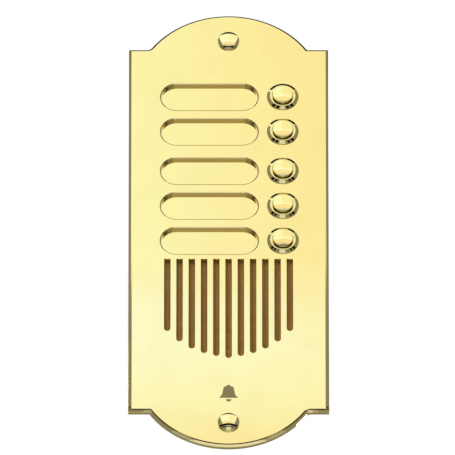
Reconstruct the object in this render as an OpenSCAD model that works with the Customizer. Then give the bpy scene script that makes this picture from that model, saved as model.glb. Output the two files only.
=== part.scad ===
// Door intercom panel: polished plate with five call buttons and name windows over a
// loudspeaker grille, and the working parts that stand behind it in the wall.
//
// Sizes are millimetres. The pieces are drawn in panel coordinates: x to the right and y up,
// both from the plate's centre, and z out of the wall from the plate's back face. place()
// stands them upright, with the front facing -Y and the origin midway between the two fixing
// screws on the plate's back face.

/* [Front plate] */
// Width of the plate
plate_w = 130; // [124:1:180]
// Height of the plate between its upper and lower shoulders
shoulder_h = 287.6; // [280:0.2:360]
// Height of each arched end above its shoulder
arch_rise = 27.3; // [22:0.1:34]
// Radius of each arched end
arch_r = 61.8; // [50:0.1:62]
// Radius in the corner between an arch and its shoulder
corner_r = 4; // [2:0.5:6]
// Thickness of the plate
plate_t = 3.5; // [3:0.1:5]
// Width of the bevel round the front edge
bevel_w = 1.9; // [1:0.1:3]
// Depth of that bevel
bevel_h = 1.3; // [0.5:0.1:2]

/* [Name windows] */
// Length of a window
window_w = 63; // [50:0.5:70]
// Height of a window
window_h = 20.5; // [14:0.5:22]
// Centre of the windows, to the left of the plate's centre
window_left = 12.5; // [10:0.5:16]
// Height of the top row above the plate's centre
top_row = 105.3; // [90:0.1:111]
// Distance from row to row
row_pitch = 27.7; // [27:0.1:34]
// Extra distance between the second and the third row
group_gap = 3.6; // [3:0.1:8]
// Thickness of a name plate
name_plate_t = 1; // [0.8:0.1:1.5]
// Depth of a name plate's face below the front face
window_depth = 2.8; // [2:0.1:3.2]
// Width of the seat round a window
seat_w = 1.5; // [1:0.1:1.8]
// Width of the bevel round a window
window_bevel_w = 0.8; // [0.4:0.1:1]
// Height of that bevel
window_bevel_h = 0.45; // [0.2:0.05:0.6]

/* [Buttons] */
// Centre of the buttons, to the right of the plate's centre
button_right = 35.35; // [34:0.05:40]
// Outer diameter of a bezel
bezel_d = 20.7; // [20:0.1:25]
// Height of a bezel above the plate
bezel_h = 1.6; // [1.2:0.1:2]
// Height of a bezel's upright rim
bezel_rim = 0.55; // [0.4:0.05:1]
// Width of the flat ring round a bezel's hole
bezel_ring = 1.05; // [0.8:0.05:1.4]
// Diameter of a button cap
cap_d = 13.3; // [11:0.1:14]
// Gap round a cap in its bezel
cap_gap = 0.5; // [0.3:0.05:0.6]
// Height of a cap's straight side above its bezel
cap_stand = 2; // [1.6:0.1:3]
// Rise of a cap's dome above its side
dome_h = 0.9; // [0.5:0.05:1.5]
// How far a button is pressed
button_travel = 1.5; // [1:0.1:1.8]

/* [Grille] */
// Number of slits
slit_count = 11; // [9:2:11]
// Distance from slit to slit
slit_pitch = 7.95; // [7:0.05:8.5]
// Width of a slit
slit_w = 3.9; // [3:0.1:4.4]
// Length of the middle slit
slit_len = 77.9; // [72:0.1:90]
// Gap between the lowest window and the slits
slit_gap = 4.25; // [4:0.05:8]

/* [Inside] */
// Diameter of the loudspeaker
speaker_d = 57; // [50:0.5:69]
// Depth of the loudspeaker, from its rim to the back of its magnet
speaker_depth = 21; // [18:0.5:28]
// Wall thickness of the rear housing
housing_wall = 2; // [1.5:0.1:2.5]
// Room behind the main board
rear_room = 6.4; // [5.5:0.1:10]
// Outer radius of the rear housing's upright corners
housing_corner = 6; // [4:0.5:6]

/* [Fixings] */
// Distance of the upper fixing screw below the top of the plate
top_inset = 21.2; // [18:0.1:24]
// Distance of the lower fixing screw above the foot of the plate
foot_inset = 18.6; // [18:0.1:24]
// Diameter of a fixing screw
fixing_d = 5; // [4:0.5:5]
// Length of a fixing screw
fixing_len = 25; // [20:1:60]
// Diameter of a fixing screw's domed cover
cover_d = 14; // [12:0.5:16]

/* [Hidden] */

$fn = 64;
// How far a cutting shape runs past the face that it cuts
over = 1;
// Clearance between pieces that move past each other
move_clear = 0.3;
// Clearance round pieces that drop into a seat or a hole
drop_clear = 0.1;
// Clearance between a thread and its hole, drawn as plain cylinders
thread_clear = 0.05;

// Plate
plate_half_h = shoulder_h / 2 + arch_rise;
plate_rise = (top_inset - foot_inset) / 2;
arch_y = plate_half_h - arch_r;
fillet_y = shoulder_h / 2 + corner_r;
fillet_x = sqrt(pow(arch_r + corner_r, 2) - pow(fillet_y - arch_y, 2));

// Rows: the centre height of each window and its button
row_count = 5;
rows = [for (i = [0 : row_count - 1]) top_row - i * row_pitch - (i > 1 ? group_gap : 0)];
window_x = -window_left;
button_x = button_right;
group_y = (rows[1] + rows[2]) / 2;

// Name plates, which stand a little proud of the back face so that the clamp presses on them
seat_depth = plate_t - window_depth;
name_plate_back = seat_depth - name_plate_t;
clamp_t = 0.8;
clamp_margin = 0.8;
clamp_top_edge = 7;
clamp_back = name_plate_back - clamp_t;

// Studs welded to the back of the plate, and their nuts
stud_r = 1.5;
nut_flats = 5.5;
nut_t = 2.4;
clamp_stud_x = [window_x - window_w / 2 + 4.5, window_x + window_w / 2 - 4.5];
clamp_stud_y = [
    rows[0] + window_h / 2 + seat_w + 3.2,
    group_y,
    (rows[3] + rows[4]) / 2
];
stud_past_nut = 1;

// Buttons, from the front backwards
bezel_r = bezel_d / 2;
cap_r = cap_d / 2;
bezel_hole_r = cap_r + cap_gap;
bezel_lip = 3.5;
cap_flange_r = cap_r + 1.05;
bezel_bore_r = cap_flange_r + move_clear;
barrel_r = bezel_bore_r + 1.2;
barrel_back = -8;
bezel_top = plate_t + bezel_h;
lip_back = bezel_top - bezel_lip;
flange_front = lip_back - drop_clear;
flange_t = 1.2;
flange_back = flange_front - flange_t;
stem_r = 2.5;
base_front = barrel_back + 2;
base_flange_t = 1.5;
base_back = barrel_back - base_flange_t;
disc_front = base_back - 1.5;
disc_t = 0.5;
disc_r = 3.6;
terminal_front = disc_front - disc_t - button_travel - drop_clear;
board_t = 1.6;
button_board_front = terminal_front - 1.9;
button_board_back = button_board_front - board_t;
button_board_half = 11.5;
bezel_nut_flats = 2 * barrel_r + 3.6;
bezel_nut_t = 3;
spring_wire_r = 0.35;
spring_turns = 5;
spring_r = (stem_r + bezel_bore_r) / 2;
board_stud_y = [rows[0] + bezel_nut_flats / sqrt(3) + stud_r + 1.6, group_y];

// Grille and what lies behind it
gauze_t = 0.5;
gauze_edge = 1.5;
nut_clear = 0.2;
slit_top = min(
    rows[row_count - 1] - window_h / 2 - slit_gap,
    rows[row_count - 1] - bezel_nut_flats / sqrt(3) - nut_clear - gauze_edge
);
slit_half = (slit_count - 1) / 2;
slit_edge = slit_half * slit_pitch + slit_w / 2;
gasket_t = 1.5;
speaker_r = speaker_d / 2;
speaker_y = slit_top - speaker_r - 4.3;
speaker_front = -gauze_t - gasket_t;
speaker_back = speaker_front - speaker_depth;
rim_t = 1.2;
rim_w = 3;
clip_bar = ceil((speaker_r + 2 * stud_r) / slit_pitch - 0.5) + 0.5;
clip_x = clip_bar * slit_pitch;
clip_outer = clip_x + 3;
clip_t = 1;
boot_r = 7;
boot_depth = 7.5;
mic_y = speaker_y - speaker_r - boot_r - 1.5;
mic_r = 4.8;

// Rear housing and main board
main_board_front = speaker_back - 3;
main_board_back = main_board_front - board_t;
floor_front = main_board_back - rear_room;
floor_back = floor_front - housing_wall;
housing_half_w = plate_w / 2 - 7;
housing_top = board_stud_y[0] + housing_wall + 5.5;
housing_foot = min(slit_top - slit_len, mic_y - boot_r) - 10 - housing_wall;
pillar_flats = 6;
pillar_inset = housing_wall + 4;
pillar_x = housing_half_w - pillar_inset;
pillar_y = [housing_foot + pillar_inset, housing_top - pillar_inset];
board_half_w = pillar_x - 4.5;
board_foot = housing_foot + housing_wall + 4;
board_top = slit_top - 4;
post_x = board_half_w - 4.5;
post_y = [board_foot + 5, board_top - 12];
post_r = 3.5;
pip_r = 1.6;

// Terminal block and trimmers, reached from behind
pole_count = 8;
pole_pitch = 5;
block_w = pole_count * pole_pitch + 2;
block_h = 10;
block_x = 12;
block_y = board_foot + 18;
block_back = floor_back - 2;
trimmer_x = -30;
trimmer_y = [block_y, block_y + 16];
trimmer_size = 9;
trimmer_body_t = rear_room - 1.4;
trimmer_r = 3;
trimmer_shaft_r = 1.5;

// Ribbon cable and its two sockets
socket_w = 14;
socket_h = 5;
socket_t = 4;
ribbon_w = 12.7;
ribbon_t = 1;
upper_socket_y = rows[row_count - 1] - 7;
lower_socket_y = board_top - 7;

// Fixings
fixing_y = [plate_half_h - top_inset, foot_inset - plate_half_h];
fixing_r = fixing_d / 2;
fixing_head_r = fixing_d + 0.6;
fixing_head_t = plate_t - drop_clear;
cover_r = cover_d / 2;
cover_rim = 1.1;
cover_dome = 1.7;
spigot_r = 1.2;
spigot_len = 3.5;

// Finishes
brass = "#e9cf86";
worn_brass = "#c9b061";
steel = "#b8bcc0";
dark_steel = "#6e7276";
black_plastic = "#26282b";
board_green = "#2f6b45";
foam = "#3a3a3a";

// Stands a piece drawn in panel coordinates upright on the wall
module place() {
    translate([0, 0, plate_rise]) rotate([90, 0, 0]) children();
}

// A round piece or hole from one z to another
module rod(r, from, to) {
    translate([0, 0, min(from, to)]) cylinder(r = r, h = abs(to - from));
}

// A washer or tube from one z to another
module ring(outer, inner, from, to) {
    difference() {
        rod(outer, from, to);
        rod(inner, min(from, to) - over, max(from, to) + over);
    }
}

// A six-sided nut or pillar with a hole through it, its flats to the left and right
module hexagon(flats, inner, from, to) {
    difference() {
        translate([0, 0, min(from, to)])
            rotate([0, 0, 30])
            cylinder(r = flats / sqrt(3), h = abs(to - from), $fn = 6);
        rod(inner, min(from, to) - over, max(from, to) + over);
    }
}

// A flat block between two z values, centred at x and y
module slab(x, y, w, h, from, to) {
    translate([x - w / 2, y - h / 2, min(from, to)]) cube([w, h, abs(to - from)]);
}

// The same with round upright corners
module round_slab(x, y, w, h, r, from, to) {
    slab(x, y, w - 2 * r, h, from, to);
    slab(x, y, w, h - 2 * r, from, to);
    for (dx = [r - w / 2, w / 2 - r], dy = [r - h / 2, h / 2 - r])
        translate([x + dx, y + dy, 0]) rod(r, from, to);
}

// An upright flat outline with round ends to the left and right
module oblong(w, h) {
    union() {
        square([w - h, h], center = true);
        translate([(h - w) / 2, 0]) circle(d = h);
        translate([(w - h) / 2, 0]) circle(d = h);
    }
}

// Puts a copy at every row's button, or at every row's window
module at_rows(x) {
    for (y = rows) translate([x, y, 0]) children();
}

// Puts a copy at each of the places named by lists of x and y
module at_grid(xs, ys) {
    for (x = xs, y = ys) translate([x, y, 0]) children();
}

/* ---- Front plate ---- */

// The plate's outline, drawn in by a margin
module plate_outline(margin) {
    square([plate_w - 2 * margin, shoulder_h - 2 * margin], center = true);
    for (side = [-1, 1]) translate([0, side * arch_y]) circle(r = arch_r - margin);
}

// A bar along y whose front edges are bevelled, wide enough for one direction of the plate
module bevelled_bar(width, length) {
    half = width / 2;
    rotate([90, 0, 0])
        linear_extrude(length, center = true)
        polygon([
            [-half, 0], [half, 0], [half, plate_t - bevel_h], [half - bevel_w, plate_t],
            [bevel_w - half, plate_t], [-half, plate_t - bevel_h]
        ]);
}

// The filling of an upper corner between arch and shoulder, with the bevel carried round it
module corner_filling(side) {
    centre = [side * fillet_x, fillet_y];
    to_arch = (centre - [0, arch_y]) / (arch_r + corner_r);
    reach = corner_r + bevel_w + 0.6;
    outline = [centre, centre - reach * to_arch, centre - 1.2 * reach * [side, 1], centre - [0, reach]];
    difference() {
        linear_extrude(plate_t)
            polygon(side > 0 ? outline : [for (i = [3 : -1 : 0]) outline[i]]);
        translate([side * fillet_x, fillet_y, -over]) cylinder(r = corner_r, h = plate_t + 2 * over);
        translate([side * fillet_x, fillet_y, plate_t - bevel_h])
            cylinder(r1 = corner_r, r2 = corner_r + bevel_w, h = bevel_h);
    }
}

module plate_blank() {
    union() {
        intersection() {
            bevelled_bar(plate_w, shoulder_h);
            rotate([0, 0, 90]) bevelled_bar(shoulder_h, plate_w);
        }
        for (side = [-1, 1]) translate([0, side * arch_y, 0]) {
            cylinder(r = arch_r, h = plate_t - bevel_h);
            translate([0, 0, plate_t - bevel_h])
                cylinder(r1 = arch_r, r2 = arch_r - bevel_w, h = bevel_h);
        }
        for (turn = [0, 180], side = [-1, 1]) rotate([0, 0, turn]) corner_filling(side);
    }
}

// How far the end of a slit lies above the end of the middle one, n slits away
function slit_short(n) = 1.5 * n + 0.11 * pow(n, 3);

module slits() {
    for (i = [-slit_half : slit_half]) {
        foot = slit_top - slit_len + slit_short(abs(i)) + slit_w / 2;
        translate([i * slit_pitch, 0, -over]) linear_extrude(plate_t + 2 * over) {
            translate([-slit_w / 2, foot]) square([slit_w, slit_top - foot]);
            translate([0, foot]) circle(d = slit_w);
        }
    }
}

// A plain bell, drawn about its own centre
mark_h = 13;
mark_y = -129.3;
mark_depth = 0.5;
enamel_depth = 0.1;
function bell_half_width(t) = 2.3 + 1.2 * sqrt(1 - pow(1 - min(1, t * 2.2), 2)) + 2.4 * pow(t, 4);
bell_steps = 12;

module bell_shape() {
    dome_foot = -mark_h * 0.27;
    dome_high = mark_h * 0.66;
    translate([0, dome_foot + dome_high]) circle(r = mark_h * 0.1);
    polygon(concat(
        [for (i = [0 : bell_steps])
            [-bell_half_width(i / bell_steps), dome_foot + dome_high * (1 - i / bell_steps)]],
        [for (i = [bell_steps : -1 : 0])
            [bell_half_width(i / bell_steps), dome_foot + dome_high * (1 - i / bell_steps)]]
    ));
    translate([0, -mark_h * 0.38]) intersection() {
        circle(r = mark_h * 0.12);
        translate([0, -mark_h * 0.1]) square([mark_h, mark_h * 0.2], center = true);
    }
}

// The shallow bevel round a window, as a cutter that runs past the front face
module window_bevel() {
    half = window_h / 2;
    end_x = window_w / 2 - half;
    height = window_bevel_h + over;
    wide = half + window_bevel_w * height / window_bevel_h;
    translate([0, 0, plate_t - window_bevel_h]) {
        for (side = [-1, 1]) translate([side * end_x, 0, 0])
            cylinder(r1 = half, r2 = wide, h = height);
        rotate([90, 0, 90])
            linear_extrude(2 * end_x, center = true)
            polygon([[-half, 0], [half, 0], [wide, height], [-wide, height]]);
    }
}

module front_plate() {
    color(brass) place() difference() {
        plate_blank();
        at_rows(window_x) {
            translate([0, 0, -over]) linear_extrude(plate_t + 2 * over) oblong(window_w, window_h);
            translate([0, 0, -over])
                linear_extrude(seat_depth + over)
                oblong(window_w + 2 * seat_w, window_h + 2 * seat_w);
            window_bevel();
        }
        at_rows(button_x) rod(barrel_r + drop_clear, -over, plate_t + over);
        slits();
        at_grid([0], fixing_y) {
            rod(fixing_r + drop_clear, -over, plate_t + over);
            translate([0, 0, plate_t - fixing_head_t])
                cylinder(
                    r1 = fixing_r + drop_clear,
                    r2 = fixing_head_r + drop_clear,
                    h = fixing_head_t
                );
        }
        translate([0, mark_y, plate_t - mark_depth])
            linear_extrude(mark_depth + over)
            bell_shape();
    }
}

module bell_mark() {
    color(black_plastic) place()
        translate([0, mark_y, plate_t - mark_depth])
        linear_extrude(mark_depth - enamel_depth)
        bell_shape();
}

module stud(x, y, back) {
    translate([x, y, 0]) rod(stud_r, 0, back);
}

module plate_studs() {
    color(worn_brass) place() {
        for (x = clamp_stud_x, y = clamp_stud_y) stud(x, y, clamp_back - nut_t - stud_past_nut);
        for (y = board_stud_y) stud(button_x, y, button_board_back - nut_t - stud_past_nut);
        for (x = [-clip_x, clip_x])
            stud(x, speaker_y, speaker_front - rim_t - clip_t - nut_t - stud_past_nut);
        for (x = [-pillar_x, pillar_x], y = pillar_y) stud(x, y, -6);
    }
}

seal_t = 1;
seal_margin = 2.5;
seal_hole_gap = 2;

module plate_gasket() {
    color(foam) place() difference() {
        translate([0, 0, -seal_t]) linear_extrude(seal_t) plate_outline(seal_margin);
        slab(
            0, (housing_top + housing_foot) / 2,
            2 * housing_half_w + 1, housing_top - housing_foot + 1,
            -seal_t - over, over
        );
        at_grid([0], fixing_y) rod(fixing_r + seal_hole_gap, -seal_t - over, over);
    }
}

/* ---- Name plates ---- */

module name_plate(row) {
    color(brass) place()
        translate([window_x, rows[row], name_plate_back])
        linear_extrude(name_plate_t)
        oblong(
            window_w + 2 * (seat_w - drop_clear),
            window_h + 2 * (seat_w - drop_clear)
        );
}

module name_plate_clamp() {
    left = window_x - window_w / 2 - seat_w - clamp_margin;
    right = window_x + window_w / 2 + seat_w + clamp_margin;
    foot = rows[row_count - 1] - window_h / 2 - seat_w + drop_clear;
    top = rows[0] + window_h / 2 + seat_w + clamp_top_edge;
    color(steel) place() difference() {
        slab((left + right) / 2, (foot + top) / 2, right - left, top - foot, clamp_back, name_plate_back);
        at_grid(clamp_stud_x, clamp_stud_y) rod(stud_r + drop_clear, clamp_back - over, over);
    }
}

module nut(x, y, front) {
    translate([x, y, 0]) hexagon(nut_flats, stud_r + thread_clear, front, front - nut_t);
}

module clamp_nuts() {
    color(steel) place() {
        for (x = clamp_stud_x, y = clamp_stud_y) nut(x, y, clamp_back);
        for (y = board_stud_y) nut(button_x, y, button_board_back);
        for (x = [-clip_x, clip_x]) nut(x, speaker_y, speaker_front - rim_t - clip_t);
    }
}

/* ---- Buttons ---- */

module button_bezel(row) {
    ring_r = bezel_hole_r + bezel_ring;
    color(brass) place() translate([button_x, rows[row], 0])
        rotate_extrude()
        polygon([
            [bezel_bore_r, barrel_back], [bezel_bore_r, lip_back],
            [bezel_hole_r, lip_back], [bezel_hole_r, bezel_top],
            [ring_r, bezel_top], [bezel_r, plate_t + bezel_rim],
            [bezel_r, plate_t], [barrel_r, plate_t], [barrel_r, barrel_back]
        ]);
}

module bezel_nuts() {
    color(steel) place()
        at_rows(button_x)
        hexagon(bezel_nut_flats, barrel_r + thread_clear, 0, -bezel_nut_t);
}

dome_steps = 12;

module button_cap(row) {
    ball_r = (pow(cap_r, 2) + pow(dome_h, 2)) / (2 * dome_h);
    half_angle = asin(cap_r / ball_r);
    ball_z = bezel_top + cap_stand + dome_h - ball_r;
    dome = [for (i = [0 : dome_steps]) let (a = half_angle * i / dome_steps)
        [ball_r * sin(a), ball_z + ball_r * cos(a)]];
    color(brass) place() translate([button_x, rows[row], 0])
        rotate_extrude()
        polygon(concat(
            [[0, disc_front]],
            dome,
            [[cap_r, flange_front], [cap_flange_r, flange_front], [cap_flange_r, flange_back]],
            [[stem_r, flange_back], [stem_r, disc_front]]
        ));
}

module contact_disc(row) {
    color("#c98a4b") place() translate([button_x, rows[row], 0])
        rod(disc_r, disc_front, disc_front - disc_t);
}

spring_sides = 6;
spring_rings = 16;

// A point on the wire's skin, on ring i and side k
function spring_point(i, k, foot, rise) =
    let (
        turn = 360 * i / spring_rings,
        side = 360 * k / spring_sides,
        r = spring_r + spring_wire_r * cos(side),
        z = foot + rise * i / (spring_rings * spring_turns) + spring_wire_r * sin(side)
    )
    [r * cos(turn), r * sin(turn), z];

module button_spring(row) {
    foot = base_front + spring_wire_r + thread_clear;
    rise = flange_back - base_front - 2 * (spring_wire_r + thread_clear);
    last = spring_rings * spring_turns;
    points = [for (i = [0 : last], k = [0 : spring_sides - 1]) spring_point(i, k, foot, rise)];
    walls = [for (i = [0 : last - 1], k = [0 : spring_sides - 1]) let (
        next = (k + 1) % spring_sides,
        a = i * spring_sides,
        b = a + spring_sides
    ) each [[a + k, b + k, b + next], [a + k, b + next, a + next]]];
    start_cap = [[for (k = [0 : spring_sides - 1]) k]];
    end_cap = [[for (k = [spring_sides - 1 : -1 : 0]) last * spring_sides + k]];
    color(dark_steel) place() translate([button_x, rows[row], 0])
        polyhedron(points, concat(walls, start_cap, end_cap));
}

module contact_base(row) {
    skirt_r = barrel_r - drop_clear;
    plug_r = bezel_bore_r - drop_clear;
    color(black_plastic) place() translate([button_x, rows[row], 0]) difference() {
        union() {
            rod(plug_r, base_front, barrel_back);
            rod(skirt_r, barrel_back, button_board_front);
        }
        rod(stem_r + move_clear, base_back - over, base_front + over);
        rod(skirt_r - 1.5, button_board_front - over, base_back);
    }
}

terminal_r = 0.8;
terminal_x = [-2.4, 2.4];

module contact_terminals() {
    color("#c98a4b") place() at_rows(button_x) at_grid(terminal_x, [0]) {
        rod(terminal_r, terminal_front, button_board_back - 0.3);
        rod(terminal_r + 0.5, terminal_front, terminal_front - 0.8);
    }
}

module button_board() {
    foot = rows[row_count - 1] - button_board_half;
    top = board_stud_y[0] + 3.5;
    color(board_green) place() difference() {
        slab(
            button_x, (foot + top) / 2, 2 * button_board_half, top - foot,
            button_board_front, button_board_back
        );
        at_rows(button_x) at_grid(terminal_x, [0])
            rod(terminal_r + drop_clear, button_board_back - over, button_board_front + over);
        at_grid([button_x], board_stud_y)
            rod(stud_r + drop_clear, button_board_back - over, button_board_front + over);
    }
}

module ribbon_cable() {
    start = [upper_socket_y - socket_h / 2, button_board_back - socket_t / 2];
    end = [lower_socket_y + socket_h / 2, main_board_front + socket_t / 2];
    bend = (start[0] - end[0]) / 3;
    half = ribbon_t / 2;
    path = [start, [start[0] - bend, start[1]], [end[0] + bend, end[1]], end];
    color("#9aa0a6") place()
        translate([button_x - ribbon_w / 2, 0, 0])
        rotate([90, 0, 90])
        linear_extrude(ribbon_w)
        polygon(concat(
            [for (p = path) p + [0, half]],
            [for (i = [3 : -1 : 0]) path[i] - [0, half]]
        ));
}

/* ---- Loudspeaker and microphone ---- */

module speaker_gauze() {
    half_w = max(slit_edge, clip_outer) + gauze_edge;
    foot = slit_top - slit_len - gauze_edge;
    top = slit_top + gauze_edge;
    color("#7a6233") place() difference() {
        slab(0, (foot + top) / 2, 2 * half_w, top - foot, -gauze_t, 0);
        at_grid([-clip_x, clip_x], [speaker_y]) rod(stud_r + move_clear, -gauze_t - over, over);
    }
}

module speaker_gasket() {
    color(foam) place()
        translate([0, speaker_y, 0])
        ring(speaker_r, speaker_r - rim_w, -gauze_t, speaker_front);
}

// Basket sizes, measured from the speaker's front
basket_throat_r = 13.5;
basket_depth = speaker_depth - 10;
basket_floor = speaker_front - basket_depth;
basket_mouth_r = speaker_r - rim_w;
floor_hole_r = 8;
sheet_t = 1;

// The back of the basket's sloping wall, as its outer corners: [radius, height]
wall_inner = [basket_throat_r + 0.7, basket_floor - sheet_t];
wall_outer = [basket_mouth_r + 0.6, speaker_front - rim_t];

// Height of the back of that wall at a radius
function wall_back(r) =
    wall_inner[1] + (r - wall_inner[0]) * (wall_outer[1] - wall_inner[1]) / (wall_outer[0] - wall_inner[0]);

module speaker_frame() {
    color(dark_steel) place() translate([0, speaker_y, 0]) difference() {
        rotate_extrude() polygon([
            [speaker_r, speaker_front],
            [basket_mouth_r, speaker_front],
            [basket_throat_r, basket_floor],
            [floor_hole_r, basket_floor],
            [floor_hole_r, basket_floor - sheet_t],
            wall_inner,
            wall_outer,
            [speaker_r, speaker_front - rim_t]
        ]);
        for (a = [45 : 90 : 315]) rotate([0, 0, a])
            slab(speaker_r * 0.68, 0, 4, 14, basket_floor + 1.5, speaker_front - 3);
    }
}

magnet_r = 16;
gap_r = 7;
pole_r = 5.5;

module speaker_magnet() {
    front = basket_floor - sheet_t;
    floor_z = speaker_back + 2;
    color(steel) place() translate([0, speaker_y, 0]) rotate_extrude() polygon([
        [0, speaker_back], [magnet_r, speaker_back], [magnet_r, front], [gap_r, front],
        [gap_r, floor_z], [pole_r, floor_z], [pole_r, front + 0.5], [0, front + 0.5]
    ]);
}

coil_outer = 6.6;
coil_inner = 6.1;
cone_t = 0.6;

module speaker_cone() {
    edge_r = speaker_r - rim_w - 3.2;
    edge_z = speaker_front - 0.9;
    neck_z = basket_floor + 3.4;
    coil_end = basket_floor - 5.5;
    cap_rise = 2;
    color(black_plastic) place() translate([0, speaker_y, 0]) rotate_extrude() polygon([
        [edge_r, edge_z], [edge_r, edge_z - cone_t], [coil_outer, neck_z - cone_t],
        [coil_outer, coil_end], [coil_inner, coil_end], [coil_inner, neck_z - 0.2],
        [coil_inner * 0.6, neck_z + cap_rise * 0.6], [0, neck_z + cap_rise],
        [0, neck_z + cap_rise + 0.4], [coil_inner * 0.65, neck_z + cap_rise * 0.65 + 0.4],
        [coil_outer + 0.2, neck_z + 0.1]
    ]);
}

module speaker_clips() {
    clip_w = 8;
    inner = speaker_r - rim_w + 0.5;
    front = speaker_front - rim_t;
    color(steel) place() for (side = [0, 1]) mirror([side, 0, 0]) difference() {
        union() {
            slab((inner + clip_outer) / 2, speaker_y, clip_outer - inner, clip_w, front - clip_t, front);
            slab(clip_outer - clip_t / 2, speaker_y, clip_t, clip_w, front - clip_t, -gauze_t);
        }
        translate([clip_x, speaker_y, 0])
            rod(stud_r + drop_clear, front - clip_t - over, front + over);
    }
}

mic_front = -gauze_t - 1;
mic_back = -gauze_t - boot_depth + 0.5;

module microphone() {
    color(steel) place() translate([0, mic_y, 0]) rod(mic_r, mic_front, mic_back);
}

module microphone_boot() {
    color(foam) place() translate([0, mic_y, 0]) difference() {
        rod(boot_r, -gauze_t, -gauze_t - boot_depth);
        rod(mic_r, mic_front, -gauze_t - boot_depth - over);
        rod(1.5, mic_front - over, over);
    }
}

/* ---- Electronics ---- */

module main_board() {
    color(board_green) place() difference() {
        slab(
            0, (board_foot + board_top) / 2, 2 * board_half_w, board_top - board_foot,
            main_board_front, main_board_back
        );
        at_grid([-post_x, post_x], post_y)
            rod(pip_r + drop_clear, main_board_back - over, main_board_front + over);
    }
}

// Chips and capacitors on the front of the main board: each is x, y, width, height, thickness
chips = [[-32, 24, 10, 14, 1.8], [30, 30, 12, 12, 2], [26, 12, 7, 5, 1.6], [-34, 46, 8, 6, 1.6]];
cans = [[-18, 8, 3.2], [34, 48, 3.2], [18, 60, 2.5]];
can_h = 2.6;

module board_parts() {
    color("#33373c") place() {
        for (c = chips)
            slab(c[0], board_foot + c[1], c[2], c[3], main_board_front, main_board_front + c[4]);
        for (c = cans) translate([c[0], board_foot + c[1], 0])
            rod(c[2], main_board_front, main_board_front + can_h);
        slab(
            button_x, lower_socket_y, socket_w, socket_h,
            main_board_front, main_board_front + socket_t
        );
        slab(
            button_x, upper_socket_y, socket_w, socket_h,
            button_board_back, button_board_back - socket_t
        );
        for (y = trimmer_y) difference() {
            slab(
                trimmer_x, y, trimmer_size, trimmer_size,
                main_board_back, main_board_back - trimmer_body_t
            );
            translate([trimmer_x, y, 0])
                rod(
                    trimmer_shaft_r + thread_clear,
                    main_board_back - trimmer_body_t - over,
                    main_board_back - 1.5
                );
        }
    }
}

function pole_x(i) = block_x + (i - (pole_count - 1) / 2) * pole_pitch;
pole_screw_r = 1.8;

module terminal_block() {
    color("#3d7a5a") place() difference() {
        slab(block_x, block_y, block_w, block_h, main_board_back, block_back);
        for (i = [0 : pole_count - 1]) {
            translate([pole_x(i), block_y + 1, 0])
                rod(pole_screw_r + drop_clear, block_back - over, block_back + 5);
            translate([pole_x(i) - 1.4, block_y - block_h / 2 - over, block_back + 1])
                cube([2.8, 4.5 + over, 3.4]);
        }
    }
}

module terminal_screws() {
    color(steel) place() for (i = [0 : pole_count - 1])
        translate([pole_x(i), block_y + 1, 0])
        difference() {
            rod(pole_screw_r, block_back + 0.6, block_back + 4);
            slab(0, 0, 6, 0.6, block_back - over, block_back + 1.2);
        }
}

module volume_trimmer(index) {
    body_back = main_board_back - trimmer_body_t;
    disc_back = floor_back + 0.6;
    color("#d8d2b8") place() translate([trimmer_x, trimmer_y[index], 0]) difference() {
        union() {
            rod(trimmer_shaft_r, main_board_back - 1.5 - drop_clear, body_back - drop_clear);
            rod(trimmer_r, body_back - drop_clear, disc_back);
        }
        slab(0, 0, 0.8, 5, disc_back - over, disc_back + 0.8);
    }
}

lead_r = 0.6;

// A wire that runs straight back to the main board from a point
module straight_lead(x, y, front) {
    translate([x, y, 0]) rod(lead_r, front, main_board_front);
}

module signal_leads() {
    tag_x = -magnet_r - 1.2;
    tag_z = wall_back(-tag_x) - lead_r - drop_clear;
    lead_x = -speaker_r * 0.9;
    color("#b04a3a") place() {
        for (y = [-2, 2]) translate([0, speaker_y + y, 0]) {
            straight_lead(lead_x, 0, tag_z);
            translate([lead_x, 0, tag_z]) sphere(r = lead_r);
            translate([lead_x, 0, tag_z])
                rotate([0, 90, 0])
                cylinder(r = lead_r, h = tag_x - lead_x);
        }
        for (x = [-1.3, 1.3]) straight_lead(x, mic_y, mic_back);
    }
}

/* ---- Rear housing ---- */

module housing_pillars() {
    color(worn_brass) place() at_grid([-pillar_x, pillar_x], pillar_y)
        hexagon(pillar_flats, stud_r + thread_clear, 0, floor_front);
}

module rear_housing() {
    mid_y = (housing_top + housing_foot) / 2;
    high = housing_top - housing_foot;
    wide = 2 * housing_half_w;
    color(black_plastic) place() difference() {
        union() {
            difference() {
                round_slab(0, mid_y, wide, high, housing_corner, 0, floor_back);
                round_slab(
                    0, mid_y, wide - 2 * housing_wall, high - 2 * housing_wall,
                    housing_corner - housing_wall, over, floor_front
                );
            }
            at_grid([-post_x, post_x], post_y) {
                rod(post_r, floor_front, main_board_back);
                rod(pip_r, floor_front, main_board_front + 1);
            }
        }
        at_grid([-pillar_x, pillar_x], pillar_y) rod(stud_r + drop_clear, floor_back - over, 0);
        slab(block_x, block_y, block_w + 1, block_h + 1, floor_back - over, floor_front + over);
        for (y = trimmer_y) translate([trimmer_x, y, 0])
            rod(trimmer_r + 0.6, floor_back - over, floor_front + over);
    }
}

housing_screw_len = 8;
housing_screw_head_r = 2.75;
housing_screw_head_t = 1.8;

module housing_screws() {
    color(steel) place() at_grid([-pillar_x, pillar_x], pillar_y) difference() {
        union() {
            rod(stud_r, floor_back, floor_back + housing_screw_len);
            rod(housing_screw_head_r, floor_back, floor_back - housing_screw_head_t);
        }
        for (turn = [0, 90]) rotate([0, 0, turn])
            slab(0, 0, 0.8, 3.2, floor_back - housing_screw_head_t - over, floor_back - 0.7);
    }
}

/* ---- Wall fixings ---- */

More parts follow.
